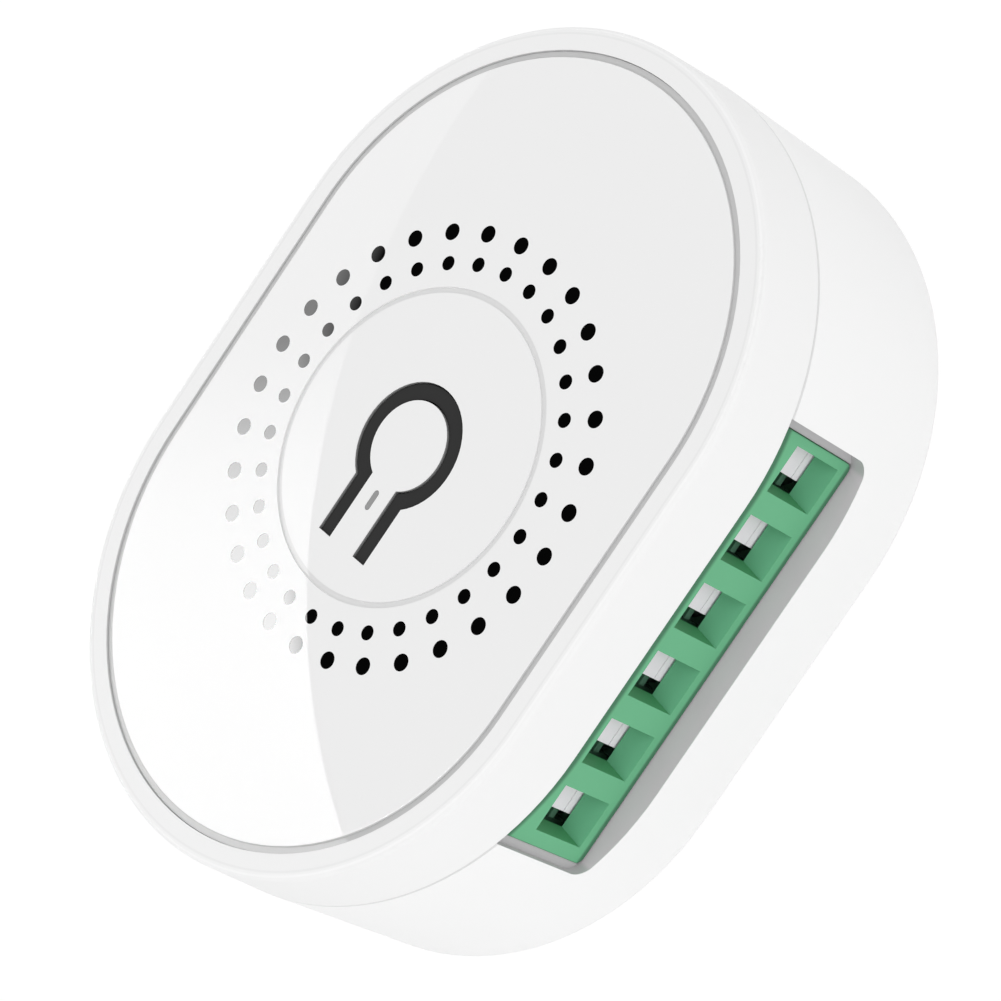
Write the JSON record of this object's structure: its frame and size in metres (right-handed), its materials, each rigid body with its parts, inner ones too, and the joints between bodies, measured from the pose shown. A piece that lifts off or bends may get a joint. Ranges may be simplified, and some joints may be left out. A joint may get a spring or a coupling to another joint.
{
  "type": "smart switch module",
  "caption": "Flat stadium shaped wall box switch module with a vented front plate, a press button on a bending tongue and a row of screw terminals in its side.",
  "frame": {"origin": "middle of the flat rear face, on the rear face", "axes": "+Z from the rear face to the front plate, +X towards the terminals, +Y along the long axis"},
  "size_m": [0.0408, 0.0588, 0.0202],
  "materials": {
    "case_white": "moulded, satin gloss",
    "plate_white": "moulded, high gloss",
    "light_pipe_grey": "frosted clear",
    "guard_black": "matt",
    "led_white": "moulded lens",
    "board_green": "solder mask",
    "screw_steel": "zinc plated",
    "terminal_green": "moulded, satin",
    "cage_steel": "nickel plated",
    "contact_tin": "tin plated",
    "can_black": "sleeved",
    "film_yellow": "moulded box",
    "disc_blue": "epoxy coated",
    "resistor_green": "lacquered",
    "epoxy_black": "moulded",
    "opto_white": "moulded",
    "surface_grey": "ceramic",
    "lead_tin": "tinned",
    "ferrite_grey": "sintered",
    "former_black": "moulded",
    "winding_tape": "taped coil",
    "copper_wire": "enamelled",
    "radio_board_blue": "solder mask",
    "shield_tin": "tinned",
    "antenna_gold": "plated track",
    "relay_case_blue": "moulded",
    "relay_base_black": "moulded",
    "relay_iron": "nickel plated",
    "bobbin_white": "moulded",
    "contact_brass": "rolled strip"
  },
  "bodies": {
    "case": {"rear_housing": "case_white", "front_cover": "case_white", "face_plate": "plate_white", "button_guard": "guard_black", "status_led": "led_white", "main_board": "board_green", "board_screws": "screw_steel", "terminal_housing": "terminal_green", "terminal_contacts": "contact_tin", "bulk_capacitor": "can_black", "output_capacitor": "can_black", "film_capacitor": "film_yellow", "varistor": "disc_blue", "fuse_resistor": "resistor_green", "bridge_rectifier": "epoxy_black", "optocouplers": "opto_white", "surface_parts": "surface_grey", "component_leads": "lead_tin", "tact_base": "former_black", "tact_cover": "shield_tin", "tact_dome": "screw_steel", "transformer_core": "ferrite_grey", "transformer_bobbin": "former_black", "transformer_winding": "winding_tape", "radio_board": "radio_board_blue", "radio_shield": "shield_tin", "radio_antenna": "antenna_gold", "relay_1_case": "relay_case_blue", "relay_1_base": "relay_base_black", "relay_1_pins": "lead_tin", "relay_1_yoke": "relay_iron", "relay_1_bobbin": "bobbin_white", "relay_1_winding": "copper_wire", "relay_1_fixed_contact": "contact_brass", "relay_2_case": "relay_case_blue", "relay_2_base": "relay_base_black", "relay_2_pins": "lead_tin", "relay_2_yoke": "relay_iron", "relay_2_bobbin": "bobbin_white", "relay_2_winding": "copper_wire", "relay_2_fixed_contact": "contact_brass"},
    "button": {"button_tongue": "plate_white", "light_pipe": "light_pipe_grey"},
    "plunger": {"tact_plunger": "bobbin_white"},
    "screw_1": {"clamp_screw_1": "screw_steel"},
    "cage_1": {"clamp_cage_1": "cage_steel"},
    "screw_2": {"clamp_screw_2": "screw_steel"},
    "cage_2": {"clamp_cage_2": "cage_steel"},
    "screw_3": {"clamp_screw_3": "screw_steel"},
    "cage_3": {"clamp_cage_3": "cage_steel"},
    "screw_4": {"clamp_screw_4": "screw_steel"},
    "cage_4": {"clamp_cage_4": "cage_steel"},
    "screw_5": {"clamp_screw_5": "screw_steel"},
    "cage_5": {"clamp_cage_5": "cage_steel"},
    "screw_6": {"clamp_screw_6": "screw_steel"},
    "cage_6": {"clamp_cage_6": "cage_steel"},
    "armature_1": {"relay_1_armature": "relay_iron", "relay_1_moving_blade": "contact_brass"},
    "armature_2": {"relay_2_armature": "relay_iron", "relay_2_moving_blade": "contact_brass"}
  },
  "joints": [
    {"name": "button_press", "type": "hinge", "parent": "case", "child": "button", "pos_m": [0, -0.0076, 0.0196], "axis": [-1, 0, 0], "range_deg": [0, 3], "stiffness_Nm_per_rad": 0.05},
    {"name": "plunger_press", "type": "slide", "parent": "case", "child": "plunger", "axis": [0, 0, -1], "range_m": [0, 0.00025], "stiffness_N_per_m": 6000},
    {"name": "screw_turn_1", "type": "hinge", "parent": "case", "child": "screw_1", "pos_m": [0.0142, -0.0129, 0.003], "axis": [0, 0, -1], "range_deg": [0, 1601]},
    {"name": "cage_rise_1", "type": "slide", "parent": "case", "child": "cage_1", "axis": [0, 0, 1], "range_m": [0, 0.002]},
    {"name": "screw_turn_2", "type": "hinge", "parent": "case", "child": "screw_2", "pos_m": [0.0142, -0.0079, 0.003], "axis": [0, 0, -1], "range_deg": [0, 1601]},
    {"name": "cage_rise_2", "type": "slide", "parent": "case", "child": "cage_2", "axis": [0, 0, 1], "range_m": [0, 0.002]},
    {"name": "screw_turn_3", "type": "hinge", "parent": "case", "child": "screw_3", "pos_m": [0.0142, -0.0029, 0.003], "axis": [0, 0, -1], "range_deg": [0, 1601]},
    {"name": "cage_rise_3", "type": "slide", "parent": "case", "child": "cage_3", "axis": [0, 0, 1], "range_m": [0, 0.002]},
    {"name": "screw_turn_4", "type": "hinge", "parent": "case", "child": "screw_4", "pos_m": [0.0142, 0.0021, 0.003], "axis": [0, 0, -1], "range_deg": [0, 1601]},
    {"name": "cage_rise_4", "type": "slide", "parent": "case", "child": "cage_4", "axis": [0, 0, 1], "range_m": [0, 0.002]},
    {"name": "screw_turn_5", "type": "hinge", "parent": "case", "child": "screw_5", "pos_m": [0.0142, 0.0071, 0.003], "axis": [0, 0, -1], "range_deg": [0, 1601]},
    {"name": "cage_rise_5", "type": "slide", "parent": "case", "child": "cage_5", "axis": [0, 0, 1], "range_m": [0, 0.002]},
    {"name": "screw_turn_6", "type": "hinge", "parent": "case", "child": "screw_6", "pos_m": [0.0142, 0.0121, 0.003], "axis": [0, 0, -1], "range_deg": [0, 1601]},
    {"name": "cage_rise_6", "type": "slide", "parent": "case", "child": "cage_6", "axis": [0, 0, 1], "range_m": [0, 0.002]},
    {"name": "relay_pull_1", "type": "hinge", "parent": "case", "child": "armature_1", "pos_m": [0.0026, -0.0029, 0.0116], "axis": [-1, 0, 0], "range_deg": [0, 4], "stiffness_Nm_per_rad": 0.024},
    {"name": "relay_pull_2", "type": "hinge", "parent": "case", "child": "armature_2", "pos_m": [0.0026, 0.0029, 0.0116], "axis": [1, 0, 0], "range_deg": [0, 4], "stiffness_Nm_per_rad": 0.024}
  ],
  "couplings": [
    {"joint": "button_press", "follows": "plunger_press", "rad_per_m": 209.43},
    {"joint": "screw_turn_1", "follows": "cage_rise_1", "rad_per_m": 13963},
    {"joint": "screw_turn_2", "follows": "cage_rise_2", "rad_per_m": 13963},
    {"joint": "screw_turn_3", "follows": "cage_rise_3", "rad_per_m": 13963},
    {"joint": "screw_turn_4", "follows": "cage_rise_4", "rad_per_m": 13963},
    {"joint": "screw_turn_5", "follows": "cage_rise_5", "rad_per_m": 13963},
    {"joint": "screw_turn_6", "follows": "cage_rise_6", "rad_per_m": 13963}
  ]
}
